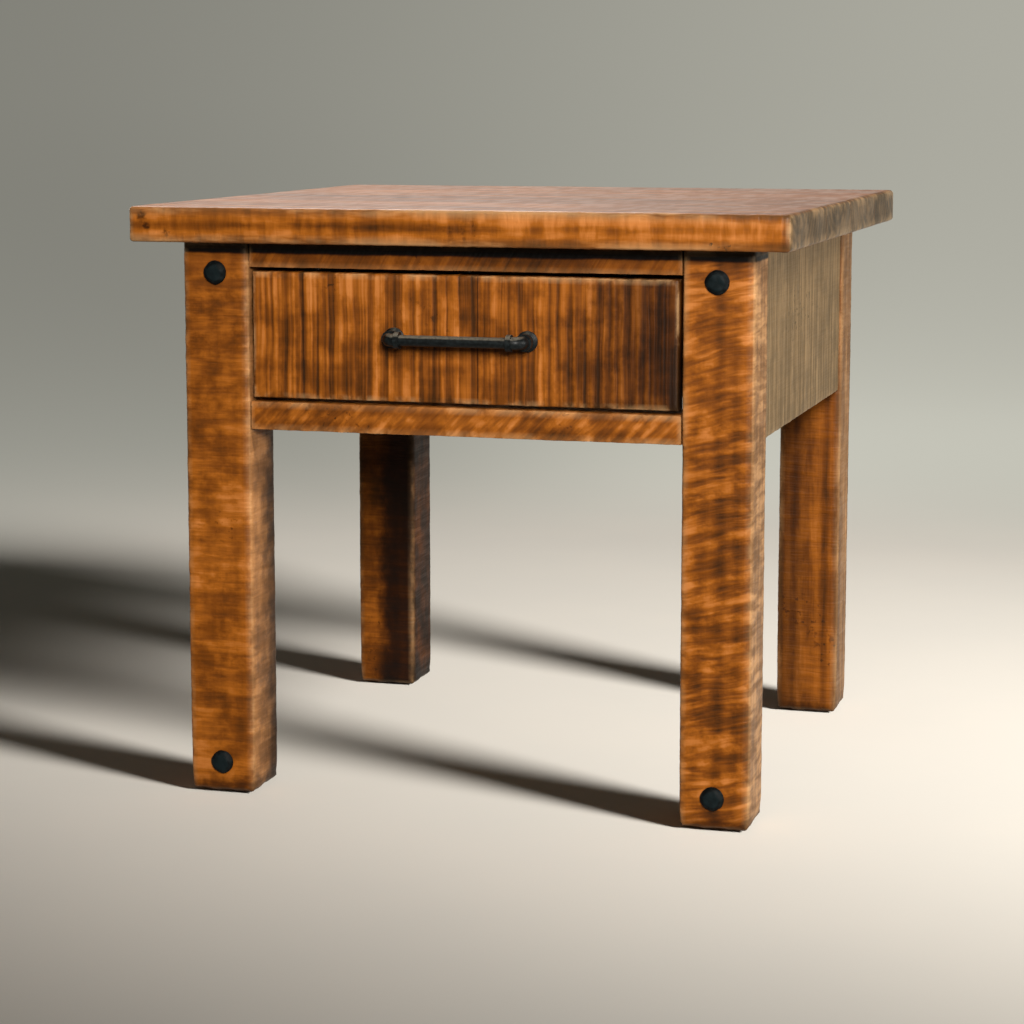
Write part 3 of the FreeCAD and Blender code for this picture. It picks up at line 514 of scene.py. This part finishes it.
# Each board's level and lean, from the front board to the back one.
TOP_TONES = ((0.56, -0.16), (0.49, 0.0), (0.61, 0.0), (0.54, 0.0))
TOP_KNOTS = {
    1: [((-0.322, -0.335, 0.600), 0.0075, 0.85), ((-0.317, -0.335, 0.590), 0.006, 0.80),
        ((-0.296, -0.335, 0.583), 0.005, 0.75), ((0.02, -0.335, 0.603), 0.012, 0.45)],
    2: [((-0.14, -0.06, 0.608), 0.016, 0.75)],
    3: [((0.10, 0.11, 0.608), 0.012, 0.70)],
    4: [((0.335, 0.285, 0.594), 0.009, 0.80), ((-0.05, 0.26, 0.608), 0.010, 0.65)],
}
END_GRAIN = (("X", 0.337, 0.002, 0.011, 0.60), ("X", -0.337, 0.002, 0.011, 0.28))

top_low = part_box("top_board_1")[0]
top_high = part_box("top_board_4")[1]
for number, (level, lean) in enumerate(TOP_TONES, start=1):
    node_name = f"top_board_{number}"
    low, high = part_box(node_name)
    board = start_piece(f"sawn_top_board_{number}", low, high)

    def outer(edge):
        """An edge of this board that is also an outer edge of the whole top."""
        middle = (edge.verts[0].co + edge.verts[1].co) / 2
        return edge_nearness(middle, top_low, top_high, ON_EDGE) > 0

    pick("EDGE", outer)
    bpy.ops.mesh.bevel(offset=TOP_ROUNDING, segments=3, affect="EDGES")

    def joint_side(edge):
        """A long edge along a glue joint."""
        middle = (edge.verts[0].co + edge.verts[1].co) / 2
        return runs_along(0)(edge) and edge_nearness(middle, low, high, ON_EDGE) > 0

    pick("EDGE", joint_side)
    bpy.ops.mesh.bevel(offset=JOINT_EASING, segments=1, affect="EDGES")
    for axis in range(3):
        slice_piece(axis, high[axis] - low[axis], TOP_CELLS[axis])
    bpy.ops.object.mode_set(mode="OBJECT")
    weather(board, top_low, top_high, "x", chew=0.0018, edge_reach=0.006)
    centre = (low + high) / 2 + Vector((0.13 * number, 0.05 * number, 0))
    # Their right ends carry the painted sheen of light from the right.
    material = wood(f"sawn_top_wood_{number}", centre, "x", level=level, lean=lean, saw=0.40, saw_width=0.016,
                    saw_length=0.06, planed=0.82, figure=0.28, fibre=0.20, blotch=0.30, patch=(0.022, 0.110),
                    specks=0.7, wear_and_highlight=0.75, painted_sheen=0.92, gloss=0.40, streaks=END_GRAIN, knots=TOP_KNOTS[number])
    finish_piece(board, top_low, top_high, material, "table_frame", node_name)


# ---- Legs -----------------------------------------------------------------------------------------------
# Four square maple posts, rough from the saw on every face, with rounded corners and a foot that is
# chamfered and bruised. Mortises near the top take the tenons of the aprons and the front rails.

LEG_ROUNDING = 0.005
LEG_CELLS = (0.0055, 0.0055, 0.0024)
FOOT_CHEW = 0.0055
FOOT_CHEW_HEIGHT = 0.022
FOOT_CHEW_REACH = 0.014
FOOT_BITE = 0.014
TOUCHING = 1e-4
TENON_LENGTH = 0.030
TENON_THICK = 0.010
APRON_SHOULDER = 0.015
RAIL_SHOULDER = 0.010
# A nearly black band of painted shade just under the top's overhang, used twice for depth.
OVERHANG_SHADE = ("Z", 0.573, 0.0100, 0.0030, 1.0)
# Darker towards the bottom of each foot.
DARKER_FOOT_BOTTOM = ("Z", 0.0, 0.004, 0.030, 0.68)
# Legs with a sheen setting carry a painted sheen in cream tones on their faces that point right.
LEG_WOODS = {
    # Front left: its streak is a painted shadow of the front right leg on the back half of its right face.
    "leg_front_left": dict(level=0.53, saw=0.30, saw_width=0.008, saw_length=0.07, figure=0.08, blotch=0.42,
                           painted_sheen=0.45, sheen_tones=SHEEN_CREAM, streaks=[("Y", -0.226, 0.010, 0.034, 0.90)]),
    "leg_front_right": dict(level=0.54, saw=0.58, saw_width=0.009, saw_length=0.07, slant=(0, 12), wave=0.010,
                            figure=0.14, fibre=0.06, blotch=0.34, specks=0.5, painted_sheen=0.75, sheen_tones=SHEEN_CREAM),
    # Back left: its low level is painted shade under the table; its streaks are a painted shadow down the
    # middle of its front and lighter painted shade along the middle of its sides.
    "leg_back_left": dict(level=0.36, saw=0.26, saw_length=0.07, figure=0.08, fibre=0.03, blotch=0.34,
                          patch=(0.030, 0.045),
                          streaks=[("X", -0.243, 0.014, 0.024, 0.97), ("Y", 0.262, 0.010, 0.040, 0.25)]),
    # Back right: its low level is painted shade under the table; its streak is a painted shadow along the
    # left of its front.
    "leg_back_right": dict(level=0.41, saw=0.14, saw_length=0.06, figure=0.22, fibre=0.30, blotch=0.36,
                           patch=(0.025, 0.080), painted_sheen=0.75, sheen_tones=SHEEN_CREAM,
                           streaks=[("X", 0.238, 0.008, 0.030, 0.62)]),
}


def cut_out(piece, cutter):
    """Take one shape out of another and throw the cutter away."""
    cut = piece.modifiers.new("cut", "BOOLEAN")
    cut.operation = "DIFFERENCE"
    cut.solver = "EXACT"
    cut.object = cutter
    bpy.context.view_layer.objects.active = piece
    bpy.ops.object.modifier_apply(modifier=cut.name)
    bpy.data.objects.remove(cutter)


def box_cutter(low, high):
    """A plain block to cut a mortise with."""
    cutter = start_piece("cutter", low, high)
    bpy.ops.object.mode_set(mode="OBJECT")
    return cutter


def tenon_core(node_name, thin_axis, shoulder_axis, shoulder):
    """The box that an apron's or a rail's two tenons share: thinner and narrower than the board."""
    low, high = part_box(node_name)
    middle = (low[thin_axis] + high[thin_axis]) / 2
    low[thin_axis] = middle - TENON_THICK / 2
    high[thin_axis] = middle + TENON_THICK / 2
    low[shoulder_axis] += shoulder
    high[shoulder_axis] -= shoulder
    return low, high


TENONS = {
    "side_apron_left": tenon_core("side_apron_left", 0, 2, APRON_SHOULDER),
    "side_apron_right": tenon_core("side_apron_right", 0, 2, APRON_SHOULDER),
    "back_apron": tenon_core("back_apron", 1, 2, APRON_SHOULDER),
    "front_lower_rail": tenon_core("front_lower_rail", 2, 1, RAIL_SHOULDER),
    "front_upper_rail": tenon_core("front_upper_rail", 2, 1, RAIL_SHOULDER),
}


def overlaps(first, second):
    """Whether two boxes share some space."""
    return all(first[0][i] < second[1][i] and second[0][i] < first[1][i] for i in range(3))


CORNER_REACH = 0.012
drawer_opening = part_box("front_lower_rail")[0].z
inner_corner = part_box("leg_front_right")[0].x + CORNER_REACH


def beside_the_drawer(place):
    """The inner corners of the front legs, where the rails and the drawer sit close."""
    return place.z > drawer_opening and abs(place.x) < inner_corner and place.y < 0


for number, (node_name, look) in enumerate(LEG_WOODS.items()):
    low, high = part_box(node_name)
    leg = start_piece(f"sawn_{node_name}", low, high)
    pick("EDGE", runs_along(2))
    bpy.ops.mesh.bevel(offset=LEG_ROUNDING, segments=3, affect="EDGES")
    pick("EDGE", lambda edge: all(vertex.co.z < TOUCHING for vertex in edge.verts))
    bpy.ops.mesh.bevel(offset=LEG_ROUNDING, segments=2, affect="EDGES")
    for axis in range(3):
        slice_piece(axis, high[axis] - low[axis], LEG_CELLS[axis])
    bpy.ops.object.mode_set(mode="OBJECT")
    weather(leg, low, high, "z", saw_depth=0.0004, sway=0.0008, chew=0.0020,
            slant=look.get("slant", (0, 0))[1], crisp=beside_the_drawer)
    foot = leg.vertex_groups.new(name="foot")
    for vertex in leg.data.vertices:
        if vertex.co.z < FOOT_CHEW_HEIGHT:
            near = edge_nearness(vertex.co, low, high, FOOT_CHEW_REACH)
            foot.add([vertex.index], near * (1 - vertex.co.z / FOOT_CHEW_HEIGHT), "REPLACE")
    carve(leg, low, (FOOT_BITE, FOOT_BITE, FOOT_BITE), FOOT_CHEW, group="foot", rough=3)
    leg.vertex_groups.clear()
    for core in TENONS.values():
        if overlaps(core, (low, high)):
            cut_out(leg, box_cutter(*core))
    centre = (low + high) / 2 + Vector((0.02 * number, 0.03 * number, 0.2 * number))
    # Every leg gets the painted overhang shade twice, and is painted darker towards the bottom of its foot.
    look["streaks"] = look.get("streaks", []) + [OVERHANG_SHADE, OVERHANG_SHADE, DARKER_FOOT_BOTTOM]
    material = wood(f"sawn_{node_name}_wood", centre, "z", wear_and_highlight=0.5, **look)
    finish_piece(leg, low, high, material, "table_frame", node_name)


# ---- Aprons and front rails -----------------------------------------------------------------------------
# Sawn maple boards set on edge between the legs at the sides and the back, and two rails laid flat across
# the front, above and below the drawer. Each has a tenon at both ends, glued into the legs.

BOARD_EASING = 0.0012
RAIL_CELLS = 0.0055
SAW_CELL = 0.0026
TENON_ROOT = 0.001
APRON_BOARDS = {
    "side_apron_left": ("y", dict(level=0.52, saw=0.36, saw_width=0.007, figure=0.03, fibre=0.02, blotch=0.16,
                                 wear_and_highlight=0.4, specks=0.5)),
    # The right apron carries the painted sheen of light from the right on its outer face.
    "side_apron_right": ("y", dict(level=0.54, saw=0.40, saw_width=0.007, figure=0.02, fibre=0.02,
                                   blotch=0.10, wear_and_highlight=0.4, specks=0.5, painted_sheen=1.0)),
    "back_apron": ("x", dict(level=0.50, saw=0.38, saw_width=0.008, figure=0.03, fibre=0.02, blotch=0.18,
                             wear_and_highlight=0.4, specks=0.5)),
    "front_lower_rail": ("x", dict(level=0.56, saw=0.55, saw_width=0.011, saw_length=0.05, slant=(0, -45),
                                   wear_and_highlight=0.5)),
    # The upper rail's low level and the band at its top are painted shade from the top's overhang.
    "front_upper_rail": ("x", dict(level=0.33, saw=0.24, slant=(0, -30), wear_and_highlight=0.3,
                                 streaks=[OVERHANG_SHADE, OVERHANG_SHADE])),
}


def between_legs(node_name, grain):
    """The box of the part of a board that shows between the legs, without its tenons."""
    low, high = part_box(node_name)
    low["xyz".index(grain)] += TENON_LENGTH
    high["xyz".index(grain)] -= TENON_LENGTH
    return low, high


for number, (node_name, (grain, look)) in enumerate(APRON_BOARDS.items()):
    low, high = between_legs(node_name, grain)
    along = "xyz".index(grain)
    board = start_piece(f"sawn_{node_name}", low, high)
    pick("EDGE", runs_along(along))
    bpy.ops.mesh.bevel(offset=BOARD_EASING, segments=2, affect="EDGES")
    for axis in range(3):
        slice_piece(axis, high[axis] - low[axis], SAW_CELL if axis == along else RAIL_CELLS)
    bpy.ops.object.mode_set(mode="OBJECT")
    weather(board, low, high, grain, chew=0.0012, slant=look.get("slant", (0, 0))[1], edge_reach=0.004)
    core_low, core_high = TENONS[node_name]
    spans = ((core_low[along], low[along] + TENON_ROOT), (high[along] - TENON_ROOT, core_high[along]))
    for start, end in spans:
        tenon_low = core_low.copy()
        tenon_high = core_high.copy()
        tenon_low[along] = start
        tenon_high[along] = end
        tenon = box_cutter(tenon_low, tenon_high)
        joined = board.modifiers.new("tenon", "BOOLEAN")
        joined.operation = "UNION"
        joined.solver = "EXACT"
        joined.object = tenon
        bpy.context.view_layer.objects.active = board
        bpy.ops.object.modifier_apply(modifier=joined.name)
        bpy.data.objects.remove(tenon)
    centre = (low + high) / 2 + Vector((0.07 * number, 0.09 * number, 0.04 * number))
    material = wood(f"sawn_{node_name}_wood", centre, grain, **look)
    finish_piece(board, low, high, material, "table_frame", node_name, edge_reach=0.004)


# ---- Drawer front ---------------------------------------------------------------------------------------
# One wide maple board with the deepest saw marks of the table, which took up dark stain in upright
# streaks. Its front edges are painted pale: partly real wear, partly a painted highlight along them.
# Screws from inside the drawer box hold it.

FRONT_ROUNDING = 0.0025
FRONT_CELLS = (0.0022, 0.011, 0.005)
DARK_END = ("X", 0.221, 0.035, 0.130, 0.72)
CHECKS = (("X", 0.0175, 0.0003, 0.0012, 0.85), ("X", -0.166, 0.0003, 0.0010, 0.75))

low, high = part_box("drawer_front")
board = start_piece("sawn_drawer_front", low, high)
pick("EDGE", lambda edge: all(vertex.co.y < low.y + TOUCHING for vertex in edge.verts))
bpy.ops.mesh.bevel(offset=FRONT_ROUNDING, segments=3, affect="EDGES")
for axis in range(3):
    slice_piece(axis, high[axis] - low[axis], FRONT_CELLS[axis])
bpy.ops.object.mode_set(mode="OBJECT")
weather(board, low, high, "x", saw_depth=0.0006, sway=0.0004, chew=0.0010, edge_reach=0.004)
material = wood("sawn_drawer_front_wood", (low + high) / 2, "x", level=0.42, saw=0.74, saw_width=0.010,
                saw_length=0.40, breaks=0.35, lean=-0.30, blotch=0.26, figure=0.04, wear_and_highlight=0.85, worn_and_highlit=0.05,
                streaks=(DARK_END, *CHECKS))
finish_piece(board, low, high, material, "drawer", "drawer_front", edge_reach=0.004)


# ---- Iron studs and pull --------------------------------------------------------------------------------
# Forged studs with hammered heads are driven into the front legs. The pull is a black iron bar held by two
# pipe elbows on short posts with round feet, screwed on from inside the drawer.

IRON = (0.002, 0.003, 0.0033, 1)
IRON_GREY = (0.007, 0.010, 0.011, 1)
# Painted highlight on the pull's faces that turn up and forward, standing for light from above.
IRON_HIGHLIGHT = (0.135, 0.120, 0.095, 1)
# Painted highlight on the studs' crowns.
IRON_CROWN_HIGHLIGHT = (0.005, 0.0095, 0.011, 1)
PIT_SCALE = 1400.0


def black_iron(name, grain_size, lightened, facing, turn_range, grit, shine):
    """Black oiled iron with dents of a grain size, painted to a highlight tone on faces that point one way.

    turn_range is how nearly a face must point the way of facing, from no painted highlight to the full one.
    """
    material, output = new_material(name)
    tree = material.node_tree
    solid = add_node(tree, "ShaderNodeTexCoord").node.outputs["Object"]
    dents = add_node(tree, "ShaderNodeTexNoise", {"Vector": solid, "Scale": 1 / grain_size, "Detail": 3.0})
    pits = add_node(tree, "ShaderNodeTexNoise", {"Vector": solid, "Scale": PIT_SCALE, "Detail": 3.0})
    face = add_node(tree, "ShaderNodeNewGeometry").node.outputs["Normal"]
    turned = add_node(tree, "ShaderNodeVectorMath", {0: face, 1: facing}, operation="DOT_PRODUCT")
    highlight_share = stretch_range(tree, turned.node.outputs["Value"], *turn_range)
    highlight_share = arithmetic(tree, "MULTIPLY", highlight_share, stretch_range(tree, dents, 0.25, 0.60, 0.45, 0.9))
    colour = mix_colours(tree, stretch_range(tree, dents, 0.40, 0.70), IRON, IRON_GREY)
    colour = mix_colours(tree, highlight_share, colour, lightened)
    grit = arithmetic(tree, "MULTIPLY_ADD", pits, 0.25, grit - 0.12)
    height = arithmetic(tree, "MULTIPLY_ADD", pits, 0.25, dents)
    bump = add_node(tree, "ShaderNodeBump", {"Strength": 0.35, "Distance": 0.0006, "Height": height})
    shader = add_node(tree, "ShaderNodeBsdfPrincipled",
                      {"Base Color": colour, "Roughness": grit, "Normal": bump, "Specular IOR Level": shine})
    tree.links.new(shader, output.inputs["Surface"])
    return material


def refinish(node_name, material):
    """Give a piece that keeps its own shape a new finish in every material slot it has."""
    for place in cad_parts[node_name].material_slots:
        place.material = material


# Each finish paints its highlight tone on faces turned the given way: up and forward on the pull, forward on
# the studs.
pull_iron = black_iron("pull_iron", 0.003, IRON_HIGHLIGHT, (0.0, -0.50, 0.866), (0.80, 0.97), 0.42, 0.16)
stud_iron = black_iron("hammered_stud_iron", 0.006, IRON_CROWN_HIGHLIGHT, (0.0, -1.0, 0.0), (0.93, 0.99), 0.55, 0.07)
for side in ("left", "right"):
    for part in ("elbow", "flange", "post"):
        refinish(f"pull_{part}_{side}", pull_iron)
refinish("pull_bar", pull_iron)

STUD_SIDES = 24
SHANK_REACH = 0.0065
CROWN_FLAT = 0.55
FIRST_RING = 0.45
DOME_START = 0.15
DOME_FALL = 1.25
RIM_HEIGHT = 0.10
HAMMER_SIZE = 0.0075
HAMMER_DEPTH = 0.0009
for node_name in ("stud_upper_left", "stud_upper_right", "stud_lower_left", "stud_lower_right"):
    low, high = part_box(node_name)
    radius = (high.x - low.x) / 2
    head_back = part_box("leg_front_left")[0].y
    head = head_back - low.y
    middle = Vector(((low.x + high.x) / 2, head_back - head / 2, (low.z + high.z) / 2))
    bpy.ops.object.select_all(action="DESELECT")
    bpy.ops.mesh.primitive_cylinder_add(vertices=STUD_SIDES, radius=radius, depth=head, location=middle,
                                        rotation=(math.radians(90), 0, 0))
    stud = bpy.context.object
    stud.name = f"hammered_{node_name}"
    stud.data.name = stud.name
    bpy.ops.object.transform_apply(location=True, rotation=True, scale=True)
    bpy.ops.object.mode_set(mode="EDIT")
    pick("FACE", lambda face: face.normal.y < -0.9)
    bpy.ops.mesh.inset(thickness=radius * (1 - CROWN_FLAT) * FIRST_RING)
    bpy.ops.mesh.inset(thickness=radius * (1 - CROWN_FLAT) * (1 - FIRST_RING))
    bpy.ops.object.mode_set(mode="OBJECT")
    for vertex in stud.data.vertices:
        if vertex.co.y < middle.y:
            spread = math.hypot(vertex.co.x - middle.x, vertex.co.z - middle.z) / radius
            fall = DOME_FALL * max(0.0, spread - DOME_START) ** 2
            vertex.co.y = head_back - head * math.sqrt(max(RIM_HEIGHT, 1 - fall))
    bpy.ops.object.mode_set(mode="EDIT")
    pick("FACE", lambda face: face.normal.y > 0.9)
    bpy.ops.mesh.inset(thickness=radius - SHANK_REACH)
    bpy.ops.mesh.extrude_region_move(TRANSFORM_OT_translate={"value": (0, high.y - head_back, 0)})
    bpy.ops.object.mode_set(mode="OBJECT")
    smoother = stud.modifiers.new("round", "SUBSURF")
    smoother.levels = 3
    smoother.render_levels = 3
    bpy.context.view_layer.objects.active = stud
    bpy.ops.object.modifier_apply(modifier=smoother.name)
    heads = stud.vertex_groups.new(name="head")
    for vertex in stud.data.vertices:
        heads.add([vertex.index], 1.0 if vertex.co.y < head_back - 0.1 * head else 0.0, "REPLACE")
    carve(stud, low, (HAMMER_SIZE, HAMMER_SIZE, HAMMER_SIZE), HAMMER_DEPTH, group="head", rough=0)
    stud.vertex_groups.clear()
    bpy.ops.object.shade_smooth()
    stud.data.materials.clear()
    stud.data.materials.append(stud_iron)
    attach(stud, "table_frame")
    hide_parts(node_name)


# ---- Drawer box -----------------------------------------------------------------------------------------
# Sides, front and back of pale maple, planed smooth and dovetailed together, with a thin plywood bottom
# slid into a groove. Clear lacquer only, so the wood keeps its cream colour.

PALE_MAPLE = ((0.36, 0.22, 0.11, 1), (0.52, 0.35, 0.19, 1), (0.64, 0.46, 0.27, 1), (0.76, 0.60, 0.40, 1))
for node_name, grain in (("drawer_side_left", "y"), ("drawer_side_right", "y"), ("drawer_box_front", "x"),
                         ("drawer_box_back", "x"), ("drawer_bottom", "x")):
    low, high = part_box(node_name)
    maple = wood(f"{node_name}_maple", (low + high) / 2, grain, tones=PALE_MAPLE, level=0.58, saw=0.05,
                 figure=0.22, fibre=0.28, blotch=0.2, specks=0.15, relief=0.3, gloss=0.45)
    refinish(node_name, maple)


# ---- Blocks and cleats ----------------------------------------------------------------------------------
# Poplar blocks inside the frame: two carry the slides, two brace the back corners and two cleats take the
# screws that hold the top. They are sawn, sanded once and left without stain.

RAW_POPLAR = ((0.20, 0.13, 0.06, 1), (0.34, 0.24, 0.12, 1), (0.46, 0.34, 0.18, 1), (0.58, 0.45, 0.27, 1))
for node_name, grain in (("slide_block", "y"), ("corner_block", "x"), ("top_cleat", "y")):
    for side in ("left", "right"):
        low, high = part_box(f"{node_name}_{side}")
        poplar = wood(f"{node_name}_{side}_poplar", (low + high) / 2, grain, tones=RAW_POPLAR, saw=0.14,
                      figure=0.20, relief=0.6, gloss=0.62)
        refinish(f"{node_name}_{side}", poplar)


# ---- Slides ---------------------------------------------------------------------------------------------
# Full-extension slides rolled from steel with a black finish: an outer, a middle and an inner channel on
# each side, with two stamped zinc-plated cages of hardened balls between them.

SLIDE_BLACK = (0.014, 0.014, 0.015, 1)
SLIDE_GREY = (0.030, 0.031, 0.032, 1)
ZINC = (0.62, 0.63, 0.62, 1)
ZINC_DULL = (0.42, 0.43, 0.43, 1)
BALL_BRIGHT = (0.72, 0.72, 0.72, 1)


def plated_steel(name, bright, dull, brush, roughness):
    """Steel with the long scratches of rolling and a slight cloud in its coat; brush is how fine they are."""
    material, output = new_material(name)
    tree = material.node_tree
    solid = add_node(tree, "ShaderNodeTexCoord").node.outputs["Object"]
    rolled = add_node(tree, "ShaderNodeMapping", {"Vector": solid, "Scale": brush})
    scratches = add_node(tree, "ShaderNodeTexNoise", {"Vector": rolled, "Scale": 1.0, "Detail": 4.0})
    cloud = add_node(tree, "ShaderNodeTexNoise", {"Vector": solid, "Scale": 60.0, "Detail": 2.0})
    colour = mix_colours(tree, stretch_range(tree, cloud, 0.35, 0.7), bright, dull)
    grit = arithmetic(tree, "MULTIPLY_ADD", scratches, 0.2, roughness - 0.1)
    bump = add_node(tree, "ShaderNodeBump", {"Strength": 0.15, "Distance": 0.0003, "Height": scratches})
    shader = add_node(tree, "ShaderNodeBsdfPrincipled",
                      {"Base Color": colour, "Roughness": grit, "Normal": bump, "Metallic": 1.0})
    tree.links.new(shader, output.inputs["Surface"])
    return material


slide_steel = plated_steel("black_slide_steel", SLIDE_BLACK, SLIDE_GREY, (2500, 30, 2500), 0.34)
cage_steel = plated_steel("cage_steel", ZINC_DULL, ZINC, (900, 60, 900), 0.30)
ball_steel = plated_steel("ball_steel", BALL_BRIGHT, ZINC, (1500, 1500, 1500), 0.16)
for side in ("left", "right"):
    for member in ("outer", "middle", "inner"):
        refinish(f"slide_{member}_member_{side}", slide_steel)
    for member in ("outer", "inner"):
        refinish(f"slide_{member}_cage_{side}", cage_steel)
        refinish(f"slide_{member}_balls_{side}", ball_steel)


# ---- Screws ---------------------------------------------------------------------------------------------
# Zinc-plated wood screws, machine screws for the pull and lag bolts in the corner blocks, driven home. The
# screws in the upper front rail, over the drawer, are black like the slides.

SCREW_ZINC = (0.58, 0.56, 0.48, 1)
SCREW_DULL = (0.38, 0.37, 0.33, 1)

screw_zinc = plated_steel("screw_zinc", SCREW_ZINC, SCREW_DULL, (700, 700, 700), 0.36)
for node_name in ("cleat_screws", "block_screws", "corner_bolts", "slide_frame_screws", "slide_drawer_screws",
                  "drawer_front_screws", "pull_screws"):
    refinish(node_name, screw_zinc)
refinish("front_rail_screws", slide_steel)
